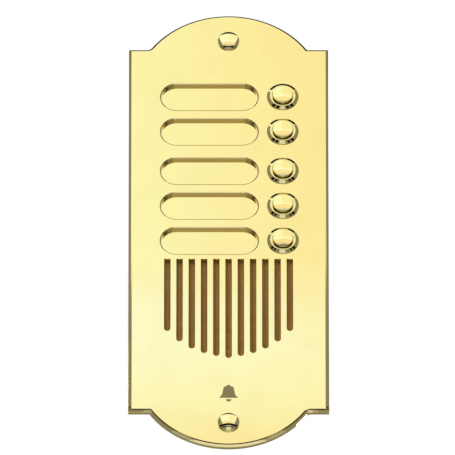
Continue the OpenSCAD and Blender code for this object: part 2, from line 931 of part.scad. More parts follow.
module fixing_screws() {
    head_front = plate_t - drop_clear;
    color(steel) place() at_grid([0], fixing_y) difference() {
        union() {
            rod(fixing_r, head_front - fixing_head_t, head_front - fixing_len);
            translate([0, 0, head_front - fixing_head_t])
                cylinder(r1 = fixing_r, r2 = fixing_head_r, h = fixing_head_t);
        }
        rod(spigot_r + thread_clear, head_front - spigot_len - 0.5, head_front + over);
    }
}

cover_steps = 12;

module fixing_covers() {
    ball_r = (pow(cover_r, 2) + pow(cover_dome, 2)) / (2 * cover_dome);
    half_angle = asin(cover_r / ball_r);
    ball_z = plate_t + cover_rim + cover_dome - ball_r;
    dome = [for (i = [0 : cover_steps]) let (a = half_angle * i / cover_steps)
        [ball_r * sin(a), ball_z + ball_r * cos(a)]];
    color(brass) place() at_grid([0], fixing_y)
        rotate_extrude()
        polygon(concat(
            [[0, plate_t - drop_clear - spigot_len]],
            dome,
            [[cover_r, plate_t], [spigot_r, plate_t]],
            [[spigot_r, plate_t - drop_clear - spigot_len]]
        ));
}

front_plate();
bell_mark();
plate_studs();
plate_gasket();
name_plate(0);  // name_plate_1
name_plate(1);  // name_plate_2
name_plate(2);  // name_plate_3
name_plate(3);  // name_plate_4
name_plate(4);  // name_plate_5
name_plate_clamp();
clamp_nuts();
button_bezel(0);  // button_bezel_1
button_bezel(1);  // button_bezel_2
button_bezel(2);  // button_bezel_3
button_bezel(3);  // button_bezel_4
button_bezel(4);  // button_bezel_5
bezel_nuts();
button_cap(0);  // button_cap_1
button_cap(1);  // button_cap_2
button_cap(2);  // button_cap_3
button_cap(3);  // button_cap_4
button_cap(4);  // button_cap_5
contact_disc(0);  // contact_disc_1
contact_disc(1);  // contact_disc_2
contact_disc(2);  // contact_disc_3
contact_disc(3);  // contact_disc_4
contact_disc(4);  // contact_disc_5
button_spring(0);  // button_spring_1
button_spring(1);  // button_spring_2
button_spring(2);  // button_spring_3
button_spring(3);  // button_spring_4
button_spring(4);  // button_spring_5
contact_base(0);  // contact_base_1
contact_base(1);  // contact_base_2
contact_base(2);  // contact_base_3
contact_base(3);  // contact_base_4
contact_base(4);  // contact_base_5
contact_terminals();
button_board();
ribbon_cable();
speaker_gauze();
speaker_gasket();
speaker_frame();
speaker_magnet();
speaker_cone();
speaker_clips();
microphone();
microphone_boot();
main_board();
board_parts();
terminal_block();
terminal_screws();
volume_trimmer(0);  // volume_trimmer_1
volume_trimmer(1);  // volume_trimmer_2
signal_leads();
housing_pillars();
rear_housing();
housing_screws();
fixing_screws();
fixing_covers();
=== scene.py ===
# %% [markdown]
# # A brass door intercom panel
#
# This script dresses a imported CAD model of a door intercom: a thick polished brass plate with five
# name windows, five sprung call buttons and a slit grille, and behind it a black moulded case with
# the electronics. The CAD model brings the shapes that have to fit. Everything here is about looks:
# polish, grain, weave, edges, light. The frame is loaded first, so each piece can be placed from it.

# %% Load the frame
import math

import bmesh
import bpy
from mathutils import Matrix, Vector


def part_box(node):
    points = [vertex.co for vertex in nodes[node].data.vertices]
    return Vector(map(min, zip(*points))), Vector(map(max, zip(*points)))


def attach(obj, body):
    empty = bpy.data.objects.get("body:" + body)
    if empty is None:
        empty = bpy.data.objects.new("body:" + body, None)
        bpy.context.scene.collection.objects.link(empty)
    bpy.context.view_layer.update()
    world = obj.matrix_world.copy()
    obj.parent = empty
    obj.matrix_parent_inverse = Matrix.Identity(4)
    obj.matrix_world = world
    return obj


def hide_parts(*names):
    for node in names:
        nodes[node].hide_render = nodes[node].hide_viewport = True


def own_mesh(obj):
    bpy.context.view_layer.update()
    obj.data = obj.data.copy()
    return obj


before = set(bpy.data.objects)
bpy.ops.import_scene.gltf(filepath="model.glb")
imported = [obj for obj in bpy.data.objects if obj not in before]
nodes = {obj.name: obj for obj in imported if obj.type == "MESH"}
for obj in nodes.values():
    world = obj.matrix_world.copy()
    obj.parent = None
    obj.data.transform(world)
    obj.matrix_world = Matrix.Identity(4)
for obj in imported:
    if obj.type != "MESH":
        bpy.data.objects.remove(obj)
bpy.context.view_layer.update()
MM = 0.001

# %% [markdown]
# ## Two helpers for every finish
#
# Colours are picked as sRGB hex values, the way a paint chart gives them. Shaders work in linear
# light, so one function converts. A material is a small tree of nodes: one function adds a node,
# sets its values and plugs in its links, which keeps each finish readable as a recipe.


# %% Colour and node helpers
def linear(hex_colour):
    """An sRGB hex colour as a linear RGBA value."""
    parts = [int(hex_colour[i:i + 2], 16) / 255 for i in (1, 3, 5)]
    return tuple(p / 12.92 if p <= 0.04045 else ((p + 0.055) / 1.055) ** 2.4 for p in parts) + (1,)


def add(tree, kind, settings=None, links=None):
    """Adds a node. Settings name its inputs or its properties, links plug sockets into inputs."""
    node = tree.nodes.new("ShaderNode" + kind)
    for name, value in (settings or {}).items():
        if isinstance(name, int) or name in node.inputs:
            node.inputs[name].default_value = value
        else:
            setattr(node, name, value)
    for name, source in (links or {}).items():
        tree.links.new(source, node.inputs[name])
    return node


def new_finish(name):
    """An empty material and its node tree."""
    made = bpy.data.materials.new(name)
    made.use_nodes = True
    made.node_tree.nodes.clear()
    return made, made.node_tree


def per_mm(size):
    """Texture scale that makes one feature of a pattern about this many millimetres wide."""
    return 1 / (size * MM)


def dress(finish, *names):
    """Gives CAD nodes a finish, in their own material slots."""
    for name in names:
        for slot in nodes[name].material_slots:
            slot.material = finish
    print(finish.name, "on", len(names), "nodes")


def every(name):
    """The names of the five nodes of one kind, one for each flat."""
    return [f"{name}_{i}" for i in range(1, 6)]


# %% [markdown]
# ## Polished brass
#
# The plate, its bezels, buttons, name plates and screw covers are solid brass, ground, polished on
# a soft wheel and lacquered. Brass of this grade is about two thirds copper and one third zinc, so
# it mirrors what stands round it in pale yellow. What tells the eye "metal" is not the colour alone:
# the wheel leaves very slight waves, the lacquer has faint smudges, and the surface has hairlines.
#
# A brass look could be a plain yellow with gloss. It's made here as a true metal, where the colour
# is the mirror's own tint, so that it turns dark wherever the room is dark, as real brass does.


# %% Brass finishes
def brass(name, tint, tarnish, roughness, wave=0.012, smudge_mm=28, hairline=0.03):
    """Polished brass. Tint and tarnish are its two colours, wave is the depth of the wheel's waves."""
    made, tree = new_finish(name)
    place = add(tree, "TexCoord")
    cloud = add(tree, "TexNoise", {"Scale": per_mm(smudge_mm), "Detail": 4, "Roughness": 0.55},
                {"Vector": place.outputs["Object"]})
    fleck = add(tree, "TexNoise", {"Scale": per_mm(3.5), "Detail": 6, "Roughness": 0.6},
                {"Vector": place.outputs["Object"]})
    mask = add(tree, "MapRange", {"From Min": 0.45, "From Max": 0.8, "To Max": 0.5},
               {"Value": cloud.outputs["Fac"]})
    colour = add(tree, "MixRGB", {"Color1": linear(tint), "Color2": linear(tarnish)},
                 {"Fac": mask.outputs[0]})
    # Grease and dust make the gloss a little uneven
    gloss = add(tree, "MapRange", {"From Min": 0.3, "From Max": 0.75,
                                   "To Min": roughness, "To Max": roughness * 1.9},
                {"Value": fleck.outputs["Fac"]})
    # Hairlines from wiping: noise stretched along one direction, a tenth of a millimetre wide
    stretch = add(tree, "Mapping", {"Scale": (0.9, 0.9, 0.035), "Rotation": (0, math.radians(24), 0)},
                  {"Vector": place.outputs["Object"]})
    lines = add(tree, "TexNoise", {"Scale": per_mm(0.35), "Detail": 2},
                {"Vector": stretch.outputs["Vector"]})
    waves = add(tree, "TexNoise", {"Scale": per_mm(34), "Detail": 1},
                {"Vector": place.outputs["Object"]})
    soft = add(tree, "Bump", {"Strength": wave, "Distance": 4 * MM},
               {"Height": waves.outputs["Fac"]})
    fine = add(tree, "Bump", {"Strength": hairline, "Distance": 0.02 * MM},
               {"Height": lines.outputs["Fac"], "Normal": soft.outputs["Normal"]})
    metal = add(tree, "BsdfPrincipled",
                {"Metallic": 1, "Coat Weight": 0.25, "Coat Roughness": 0.04, "Coat IOR": 1.5},
                {"Base Color": colour.outputs["Color"], "Roughness": gloss.outputs[0],
                 "Normal": fine.outputs["Normal"]})
    add(tree, "OutputMaterial", {}, {"Surface": metal.outputs["BSDF"]})
    return made


plate_brass = brass("polished_brass", "#f5e3a6", "#efd99a", 0.045)
turned_brass = brass("turned_brass", "#f6e9ac", "#efdf9c", 0.05, wave=0.004, smudge_mm=9)
cover_brass = brass("spun_brass", "#f8edb8", "#f0e2a8", 0.04, wave=0.004, smudge_mm=9)
raw_brass = brass("drawn_brass", "#cfb375", "#9b7f48", 0.24, wave=0.02, smudge_mm=5, hairline=0.3)

# %% [markdown]
# ## Edges that catch the light
#
# No real edge is perfectly sharp. Where the plate's face meets its bevel there is a narrow flat
# land, which mirrors another part of the room and so draws a thin line along the edge. The openings
# have a small round instead. Both could be modelled in CAD, but then every hole would carry a
# costly fillet. Blender can bevel a finished mesh, if the mesh is clean. This one arrives as thin
# triangles, and flat faces with holes in them don't stay clean when they are merged. So the copy is
# first cut through the middle of every opening, which leaves no face with a hole in it, and then
# the triangles are merged. Large flat faces get sharp borders, so that they mirror without a bend.


# %% A copy with rounded edges
LAND_MM, ROUND_MM, ROUND_STEPS = 0.4, 0.2, 3
LAND_ANGLES, ROUND_ANGLES = (31, 38), (50, 180)
FLAT_AREA = 20 * MM ** 2
SHARP_ANGLE = 9


def keep_smooth(piece):
    """Shades a piece smoothly up to its sharp edges, with flat faces kept flat by their weight."""
    for face in piece.data.polygons:
        face.use_smooth = True
    shade = piece.modifiers.new("even_shading", "WEIGHTED_NORMAL")
    shade.keep_sharp = True
    shade.weight = 100


def bevel_edges(mesh, angles, width_mm, segments):
    """Bevels the outward edges whose faces meet at an angle between two limits in degrees."""
    low, high = angles
    chosen = [e for e in mesh.edges
              if e.is_convex and low < math.degrees(e.calc_face_angle(0)) < high]
    made = bmesh.ops.bevel(mesh, geom=chosen, offset=width_mm * MM, offset_type="OFFSET",
                           segments=segments, profile=0.5, affect="EDGES", clamp_overlap=False,
                           loop_slide=True)
    return len(chosen), made["edges"]


def rounded_copy(name, new_name, cuts):
    """Copies a CAD node. Blunt edges get a flat land, sharp ones a round. Cuts are heights."""
    mesh = bmesh.new()
    mesh.from_mesh(nodes[name].data)
    bmesh.ops.remove_doubles(mesh, verts=mesh.verts, dist=1e-6)
    for height in cuts:
        every_part = mesh.verts[:] + mesh.edges[:] + mesh.faces[:]
        cut = bmesh.ops.bisect_plane(mesh, geom=every_part, dist=1e-7, plane_co=(0, 0, height),
                                     plane_no=(0, 0, 1))
        for part in cut["geom_cut"]:
            if isinstance(part, bmesh.types.BMEdge):
                part.seam = True
    bmesh.ops.dissolve_limit(mesh, angle_limit=math.radians(0.3), verts=mesh.verts, edges=mesh.edges,
                             delimit={"SEAM"})
    rounds, _ = bevel_edges(mesh, ROUND_ANGLES, ROUND_MM, ROUND_STEPS)
    lands, borders = bevel_edges(mesh, LAND_ANGLES, LAND_MM, 1)
    borders = set(borders)
    for edge in mesh.edges:
        beside_flat = max(f.calc_area() for f in edge.link_faces) > FLAT_AREA
        bent = edge.calc_face_angle(0) > math.radians(SHARP_ANGLE)
        if bent and (edge in borders or beside_flat):
            edge.smooth = False
    bmesh.ops.recalc_face_normals(mesh, faces=mesh.faces)
    made = bpy.data.meshes.new(new_name)
    mesh.to_mesh(made)
    mesh.free()
    piece = bpy.data.objects.new(new_name, made)
    bpy.context.scene.collection.objects.link(piece)
    keep_smooth(piece)
    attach(piece, "panel")
    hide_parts(name)
    print(new_name, "has", len(made.polygons), "faces,", rounds, "rounded edges,", lands, "lands")
    return piece


def middle(name):
    """The centre of a CAD node's box."""
    low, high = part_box(name)
    return (low + high) / 2


plate_low, plate_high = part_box("front_plate")
gauze_low, gauze_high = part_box("speaker_gauze")
screw_low, screw_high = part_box("fixing_screws")
screw_r = (screw_high.x - screw_low.x) / 2
levels = [middle(name).z for name in every("button_cap")]
levels += [gauze_low.z * 0.35 + gauze_high.z * 0.65, middle("bell_mark").z]
levels += [screw_low.z + screw_r, screw_high.z - screw_r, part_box("bell_mark")[0].z + 0.7 * MM]
plate = rounded_copy("front_plate", "polished_plate", levels)
plate.data.materials.append(plate_brass)
dress(plate_brass, *every("name_plate"))
dress(raw_brass, "plate_studs", "housing_pillars")


# %% [markdown]
# ## Turned pieces
#
# Bezels, caps and screw covers are turned on a lathe, and so are these: a profile from the axis
# outwards, its corners rounded, is spun in fine steps. The CAD pieces have the same profile in
# coarse steps, which a mirror finish would show as rings and facets.


# %% Spin a profile
SPIN_SIDES, ARC_STEPS, DOME_STEPS = 96, 5, 20
CREASE_ANGLE = 32


def round_off(corners):
    """Points along a profile of corners (radius, depth, rounding), all in mm."""
    points = []
    for i, (r, y, rounding) in enumerate(corners):
        if not rounding:
            points.append((r, y))
            continue
        here = Vector((r, y))
        before, after = Vector(corners[i - 1][:2]), Vector(corners[(i + 1) % len(corners)][:2])
        start = here + (before - here).normalized() * rounding
        end = here + (after - here).normalized() * rounding
        for k in range(ARC_STEPS + 1):
            t = k / ARC_STEPS
            points.append(tuple(start * (1 - t) ** 2 + here * 2 * t * (1 - t) + end * t ** 2))
    return points


def dome(radius, rise, apex):
    """Corners of a shallow ball, from its apex out to its rounded edge."""
    ball = (radius ** 2 + rise ** 2) / (2 * rise)
    turns = [math.asin(radius / ball) * i / DOME_STEPS for i in range(DOME_STEPS)]
    ball_points = [(ball * math.sin(turn), apex + ball * (1 - math.cos(turn)), 0) for turn in turns]
    return ball_points + [(radius, apex + rise, 0.3)]


def spin(mesh, points, x, z, closed):
    """Adds the skin of a profile spun about an axis along y."""
    rings = []
    for r, y in points:
        turns = [2 * math.pi * k / SPIN_SIDES for k in range(SPIN_SIDES)] if r > 1e-6 else [0]
        rings.append([mesh.verts.new((x + r * MM * math.cos(a), y * MM, z + r * MM * math.sin(a)))
                      for a in turns])
    pairs = list(zip(rings, rings[1:]))
    if closed:
        pairs.append((rings[-1], rings[0]))
    for first, second in pairs:
        for k in range(SPIN_SIDES):
            ends = [first[k % len(first)], first[(k + 1) % len(first)],
                    second[(k + 1) % len(second)], second[k % len(second)]]
            mesh.faces.new(list(dict.fromkeys(ends)))


def turned(name, new_name, body, finish, corners, places, closed=False):
    """Replaces a CAD node by its profile, spun at each of the places."""
    mesh = bmesh.new()
    for x, z in places:
        spin(mesh, round_off(corners), x, z, closed)
    bmesh.ops.recalc_face_normals(mesh, faces=mesh.faces)
    for edge in mesh.edges:
        if edge.calc_face_angle(0) > math.radians(CREASE_ANGLE):
            edge.smooth = False
    made = bpy.data.meshes.new(new_name)
    mesh.to_mesh(made)
    mesh.free()
    made.materials.append(finish)
    piece = bpy.data.objects.new(new_name, made)
    bpy.context.scene.collection.objects.link(piece)
    keep_smooth(piece)
    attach(piece, body)
    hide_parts(name)


# %% Bezels, caps and covers
flange_w, flange_t, stem_r = 1.05, 1.2, 2.5
cap_dome, cover_dome = 0.9, 1.7
cap_gap, bore_gap, seat_gap = 0.5, 0.3, 0.1
ring_w, rim_h, lip_depth, barrel_wall = 1.05, 0.55, 3.5, 1.2
spigot_r = 1.5
front = plate_low.y / MM
for n in range(1, 6):
    centre = middle(f"button_bezel_{n}")
    low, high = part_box(f"button_bezel_{n}")
    edge_r, top, back = (high.x - low.x) / 2 / MM, low.y / MM, high.y / MM
    low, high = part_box(f"button_cap_{n}")
    flange_r, apex, foot = (high.x - low.x) / 2 / MM, low.y / MM, high.y / MM
    cap_r = flange_r - flange_w
    bore_r, hole_r = flange_r + bore_gap, cap_r + cap_gap
    lip = top + lip_depth
    flange = lip + seat_gap
    spot = [(centre.x, centre.z)]
    turned(f"button_bezel_{n}", f"turned_bezel_{n}", "panel", turned_brass, [
        (bore_r, lip, 0), (hole_r, lip, 0), (hole_r, top, 0.15), (hole_r + ring_w, top, 0.15),
        (edge_r, front - rim_h, 0.2), (edge_r, front, 0), (bore_r + barrel_wall, front, 0),
        (bore_r + barrel_wall, back, 0.3), (bore_r, back, 0.3)], spot, closed=True)
    turned(f"button_cap_{n}", f"turned_cap_{n}", f"button_{n}", turned_brass, [
        *dome(cap_r, cap_dome, apex), (cap_r, flange, 0), (flange_r, flange, 0.1),
        (flange_r, flange + flange_t, 0.1), (stem_r, flange + flange_t, 0), (stem_r, foot, 0.2),
        (0, foot, 0)], spot)
low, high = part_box("fixing_covers")
cover_r = (high.x - low.x) / 2
turned("fixing_covers", "spun_covers", "panel", cover_brass, [
    *dome(cover_r / MM, cover_dome, low.y / MM), (cover_r / MM, front, 0), (spigot_r, front, 0),
    (spigot_r, high.y / MM, 0.1), (0, high.y / MM, 0)], [(0, low.z + cover_r), (0, high.z - cover_r)])
print("bezel", round(edge_r, 2), "cap", round(cap_r, 2), "cover", round(cover_r / MM, 2), "mm radius")

# %% Rounded edges by modifiers
def soften(name, width_mm, segments=3, angle=30, flat=0.3):
    """Rounds the edges of a simpler CAD node by modifiers, which leave its mesh as it is."""
    piece = nodes[name]
    weld = piece.modifiers.new("join_points", "WELD")
    weld.merge_threshold = 1e-6
    merge = piece.modifiers.new("merge_flats", "DECIMATE")
    merge.decimate_type = "DISSOLVE"
    merge.angle_limit = math.radians(flat)
    edge = piece.modifiers.new("round_edges", "BEVEL")
    edge.width = width_mm * MM
    edge.segments = segments
    edge.limit_method = "ANGLE"
    edge.angle_limit = math.radians(angle)
    edge.harden_normals = False
    edge.use_clamp_overlap = False
    shade = piece.modifiers.new("even_shading", "WEIGHTED_NORMAL")
    shade.keep_sharp = False
    shade.weight = 100


# %% [markdown]
# ## The engraved bell, filled with enamel
#
# The mark below the grille is a plain bell, cut half a millimetre deep and filled with olive enamel.
# Enamel is glass: very smooth, with a clean highlight, and slightly sunk in its recess. An olive
# dielectric with a low roughness does it, with the orange-peel ripple that stoved enamel has.

# %% Olive enamel
enamel, tree = new_finish("stoved_enamel")
place = add(tree, "TexCoord")
peel = add(tree, "TexNoise", {"Scale": per_mm(1.2), "Detail": 1}, {"Vector": place.outputs["Object"]})
ripple = add(tree, "Bump", {"Strength": 0.25, "Distance": 0.05 * MM}, {"Height": peel.outputs["Fac"]})
depth = add(tree, "MixRGB", {"Color1": linear("#857744"), "Color2": linear("#978851")},
            {"Fac": peel.outputs["Fac"]})
glass = add(tree, "BsdfPrincipled", {"Roughness": 0.12, "IOR": 1.52},
            {"Base Color": depth.outputs["Color"], "Normal": ripple.outputs["Normal"]})
add(tree, "OutputMaterial", {}, {"Surface": glass.outputs["BSDF"]})
dress(enamel, "bell_mark")

# %% [markdown]
# ## Zinc-plated steel
#
# Nuts, screws and clips are steel with a bright zinc coat, passivated to a cool, faintly yellow
# grey. Zinc is not mirror-like: its crystals scatter the light, so roughness sits at about a third,
# and the passivation drifts in colour from place to place. The loudspeaker's frame is the same
# steel with a thin dark lacquer, and the springs are drawn wire, so three finishes share a recipe.


# %% Steel finishes
def steel(name, tint, drift, roughness, grain_mm):
    """Plated or drawn steel: a grey metal with crystals of a given size."""
    made, tree = new_finish(name)
    place = add(tree, "TexCoord")
    cloud = add(tree, "TexNoise", {"Scale": per_mm(grain_mm * 6), "Detail": 3},
                {"Vector": place.outputs["Object"]})
    crystal = add(tree, "TexVoronoi", {"Scale": per_mm(grain_mm)}, {"Vector": place.outputs["Object"]})
    colour = add(tree, "MixRGB", {"Color1": linear(tint), "Color2": linear(drift)},
                 {"Fac": cloud.outputs["Fac"]})
    gloss = add(tree, "MapRange", {"To Min": roughness * 0.75, "To Max": roughness * 1.3},
                {"Value": crystal.outputs["Distance"]})
    relief = add(tree, "Bump", {"Strength": 0.15, "Distance": 0.04 * MM},
                 {"Height": crystal.outputs["Distance"]})
    metal = add(tree, "BsdfPrincipled", {"Metallic": 1},
                {"Base Color": colour.outputs["Color"], "Roughness": gloss.outputs[0],
                 "Normal": relief.outputs["Normal"]})
    add(tree, "OutputMaterial", {}, {"Surface": metal.outputs["BSDF"]})
    return made


zinc_steel = steel("zinc_plated_steel", "#c6cacb", "#b9b79f", 0.34, 0.6)
speaker_steel = steel("lacquered_steel", "#585c5f", "#484a4c", 0.42, 0.5)
music_wire = steel("drawn_spring_wire", "#b9bbbd", "#8f9193", 0.22, 0.2)
dress(zinc_steel, "clamp_nuts", "bezel_nuts", "name_plate_clamp", "housing_screws", "fixing_screws",
      "terminal_screws", "speaker_magnet", "microphone")
dress(speaker_steel, "speaker_frame", "speaker_clips")

# %% [markdown]
# ## Beryllium copper
#
# The disc under each cap has to bend a million times and still conduct, so it is a copper spring
# alloy. It is pinker than brass and stamped from strip, which leaves straight rolling lines.

# %% Contact copper
copper, tree = new_finish("rolled_copper_alloy")
place = add(tree, "TexCoord")
along = add(tree, "Mapping", {"Scale": (1, 1, 0.05)}, {"Vector": place.outputs["Object"]})
rolled = add(tree, "TexNoise", {"Scale": per_mm(0.3), "Detail": 3}, {"Vector": along.outputs["Vector"]})
colour = add(tree, "MixRGB", {"Color1": linear("#d89a6b"), "Color2": linear("#b87548")},
             {"Fac": rolled.outputs["Fac"]})
relief = add(tree, "Bump", {"Strength": 0.2, "Distance": 0.02 * MM}, {"Height": rolled.outputs["Fac"]})
metal = add(tree, "BsdfPrincipled", {"Metallic": 1, "Roughness": 0.24},
            {"Base Color": colour.outputs["Color"], "Normal": relief.outputs["Normal"]})
add(tree, "OutputMaterial", {}, {"Surface": metal.outputs["BSDF"]})
dress(copper, *every("contact_disc"), "contact_terminals")

# %% [markdown]
# ## Moulded plastics
#
# The case is black ABS, moulded in a spark-eroded tool that gives it an even fine grain. Contact
# bases are acetal, waxy and off-white; the terminal block is green nylon; trimmers are blue and the
# parts on the board are black epoxy. All are dielectrics with an index close to 1.5. They differ in
# colour, in how deep the grain is, and in how much light gets a little way in before it comes back.


# %% Moulded finishes
def moulded(name, tint, shade, roughness, grain_mm, grain_depth_mm, glow=0.0):
    """A moulded plastic with a grained surface. Glow is how much light passes just under the skin."""
    made, tree = new_finish(name)
    place = add(tree, "TexCoord")
    grain = add(tree, "TexVoronoi", {"Scale": per_mm(grain_mm), "feature": "SMOOTH_F1"},
                {"Vector": place.outputs["Object"]})
    flow = add(tree, "TexNoise", {"Scale": per_mm(26), "Detail": 3}, {"Vector": place.outputs["Object"]})
    colour = add(tree, "MixRGB", {"Color1": linear(tint), "Color2": linear(shade)},
                 {"Fac": flow.outputs["Fac"]})
    gloss = add(tree, "MapRange", {"From Min": 0.35, "From Max": 0.65, "To Min": roughness * 0.9,
                                   "To Max": roughness * 1.15}, {"Value": flow.outputs["Fac"]})
    relief = add(tree, "Bump", {"Strength": 0.6, "Distance": grain_depth_mm * MM},
                 {"Height": grain.outputs["Distance"]})
    body = add(tree, "BsdfPrincipled",
               {"IOR": 1.52, "Subsurface Weight": glow, "Subsurface Scale": 0.6 * MM},
               {"Base Color": colour.outputs["Color"], "Roughness": gloss.outputs[0],
                "Normal": relief.outputs["Normal"]})
    add(tree, "OutputMaterial", {}, {"Surface": body.outputs["BSDF"]})
    return made


abs_black = moulded("grained_abs", "#1d1e20", "#26272a", 0.42, 0.55, 0.06)
acetal = moulded("acetal", "#e6e0cf", "#dcd4bf", 0.38, 0.4, 0.01, glow=0.12)
nylon_green = moulded("green_nylon", "#2f7d4b", "#286d41", 0.36, 0.5, 0.02, glow=0.05)
trimmer_blue = moulded("blue_polyester", "#2e5fa8", "#27528f", 0.32, 0.4, 0.01)
epoxy_black = moulded("epoxy_moulding", "#232323", "#2d2c2b", 0.5, 0.25, 0.02)
soften("rear_housing", 0.6, segments=4, flat=0.5)
soften("terminal_block", 0.25, segments=2, flat=0.5)
dress(abs_black, "rear_housing")
dress(acetal, *every("contact_base"))
dress(nylon_green, "terminal_block")
dress(trimmer_blue, "volume_trimmer_1", "volume_trimmer_2")
dress(epoxy_black, "board_parts")

# %% [markdown]
# ## Closed-cell foam and rubber
#
# The seal against the wall and the ring round the loudspeaker are closed-cell foam rubber. Its skin
# is matt and slightly dimpled by the cells, half a millimetre across. The boot round the microphone
# is solid rubber with the same colour but no cells.

# %% Foam and rubber
foam, tree = new_finish("foam_rubber")
place = add(tree, "TexCoord")
cells = add(tree, "TexVoronoi", {"Scale": per_mm(0.5)}, {"Vector": place.outputs["Object"]})
colour = add(tree, "MixRGB", {"Color1": linear("#202122"), "Color2": linear("#3b3c3d")},
             {"Fac": cells.outputs["Distance"]})
relief = add(tree, "Bump", {"Strength": 0.7, "Distance": 0.15 * MM},
             {"Height": cells.outputs["Distance"]})
body = add(tree, "BsdfPrincipled", {"Roughness": 0.88, "IOR": 1.45, "Sheen Weight": 0.15},
           {"Base Color": colour.outputs["Color"], "Normal": relief.outputs["Normal"]})
add(tree, "OutputMaterial", {}, {"Surface": body.outputs["BSDF"]})
rubber = moulded("solid_rubber", "#242526", "#2c2d2e", 0.7, 0.8, 0.01)
dress(foam, "plate_gasket", "speaker_gasket")
dress(rubber, "microphone_boot")

# %% [markdown]
# ## Circuit boards
#
# A board is glass cloth in epoxy under green solder mask. Copper tracks run beneath the mask and
# read as slightly lighter green bands, raised by a few hundredths of a millimetre, with tinned
# pads where the mask is open. Drawing a real layout isn't needed: two sets of bands, switched on
# and off by a coarse grid of cells, look like tracks that turn and stop.

# %% Green solder mask over copper tracks
board, tree = new_finish("solder_masked_board")
place = add(tree, "TexCoord")
block = add(tree, "TexVoronoi", {"Scale": per_mm(11), "distance": "CHEBYCHEV"},
            {"Vector": place.outputs["Object"]})
across = add(tree, "TexWave", {"Scale": per_mm(15), "bands_direction": "X"},
             {"Vector": place.outputs["Object"]})
upright = add(tree, "TexWave", {"Scale": per_mm(15), "bands_direction": "Z"},
              {"Vector": place.outputs["Object"]})
split = add(tree, "SeparateXYZ", {}, {"Vector": block.outputs["Color"]})
side = add(tree, "Math", {"operation": "GREATER_THAN", 1: 0.5}, {0: split.outputs["X"]})
bands = add(tree, "MixRGB", {}, {"Fac": side.outputs[0], "Color1": across.outputs["Color"],
                                 "Color2": upright.outputs["Color"]})
track = add(tree, "MapRange", {"From Min": 0.62, "From Max": 0.7}, {"Value": bands.outputs["Color"]})
mask = add(tree, "MixRGB", {"Color1": linear("#1e5c3a"), "Color2": linear("#2f7a50")},
           {"Fac": track.outputs[0]})
relief = add(tree, "Bump", {"Strength": 0.5, "Distance": 0.04 * MM}, {"Height": track.outputs[0]})
body = add(tree, "BsdfPrincipled", {"Roughness": 0.28, "IOR": 1.55, "Coat Weight": 0.3,
                                    "Coat Roughness": 0.1},
           {"Base Color": mask.outputs["Color"], "Normal": relief.outputs["Normal"]})
add(tree, "OutputMaterial", {}, {"Surface": body.outputs["BSDF"]})
dress(board, "button_board", "main_board")

# %% [markdown]
# ## Ribbon cable and leads
#
# The flat cable between the boards is ten PVC-covered cores side by side, 1.27 mm apart, grey, with
# a red edge core that marks pin one. The ridges are a wave pattern across its width. The thin leads
# to the loudspeaker and the microphone are plain red PVC.

# %% PVC insulation
core_pitch = 1.27
low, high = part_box("ribbon_cable")
ribbon, tree = new_finish("ribbon_pvc")
place = add(tree, "TexCoord")
from_edge = add(tree, "Mapping", {"Location": (-low.x, 0, 0)}, {"Vector": place.outputs["Object"]})
axes = add(tree, "SeparateXYZ", {}, {"Vector": from_edge.outputs["Vector"]})
turns = add(tree, "Math", {"operation": "MULTIPLY", 1: 2 * math.pi / (core_pitch * MM)},
            {0: axes.outputs["X"]})
ridge = add(tree, "Math", {"operation": "COSINE"}, {0: turns.outputs[0]})
edge = add(tree, "Math", {"operation": "LESS_THAN", 1: core_pitch * MM}, {0: axes.outputs["X"]})
colour = add(tree, "MixRGB", {"Color1": linear("#9a9c9e"), "Color2": linear("#a8322b")},
             {"Fac": edge.outputs[0]})
relief = add(tree, "Bump", {"Strength": 0.8, "Distance": 0.3 * MM, "invert": True},
             {"Height": ridge.outputs[0]})
body = add(tree, "BsdfPrincipled", {"Roughness": 0.45, "IOR": 1.53},
           {"Base Color": colour.outputs["Color"], "Normal": relief.outputs["Normal"]})
add(tree, "OutputMaterial", {}, {"Surface": body.outputs["BSDF"]})
lead_pvc = moulded("lead_pvc", "#b3352c", "#9e2d26", 0.4, 0.6, 0.01)
dress(ribbon, "ribbon_cable")
dress(lead_pvc, "signal_leads")
print("cores in the ribbon:", round((high.x - low.x) / (core_pitch * MM)))

# %% [markdown]
# ## The loudspeaker's cone
#
# The cone is paper pulp, felted on a wire form and dyed black. Up close it is a mat of short
# fibres, so it's rough, a little fuzzy, and uneven in tone. Two noises, one fine for fibres and one
# coarse for clumps of pulp, give both, and a touch of sheen gives the fuzz.

# %% Paper pulp
paper, tree = new_finish("felted_paper")
place = add(tree, "TexCoord")
fibre = add(tree, "TexNoise", {"Scale": per_mm(0.6), "Detail": 6, "Distortion": 1.4},
            {"Vector": place.outputs["Object"]})
clump = add(tree, "TexNoise", {"Scale": per_mm(7), "Detail": 2}, {"Vector": place.outputs["Object"]})
colour = add(tree, "MixRGB", {"Color1": linear("#1b1a19"), "Color2": linear("#35322f")},
             {"Fac": clump.outputs["Fac"]})
relief = add(tree, "Bump", {"Strength": 0.6, "Distance": 0.12 * MM}, {"Height": fibre.outputs["Fac"]})
body = add(tree, "BsdfPrincipled", {"Roughness": 0.9, "IOR": 1.5, "Sheen Weight": 0.3},
           {"Base Color": colour.outputs["Color"], "Normal": relief.outputs["Normal"]})
add(tree, "OutputMaterial", {}, {"Surface": body.outputs["BSDF"]})
dress(paper, "speaker_cone")

# %% [markdown]
# ## The woven gauze behind the slits
#
# A sheet of bronze wire cloth lies behind the slits, to keep insects and fingers off the cone. The
# weave shows through each slit as a fine texture with lighter wires and dark gaps. It could be a
# bump pattern on a flat sheet, but then it wouldn't shade itself. Real wires are better: each one
# runs over and under the wires it crosses, as a cosine. They are square in section with soft
# shading, which is enough at this size. The sheet is 0.5 mm thick, so two wire layers fill it.

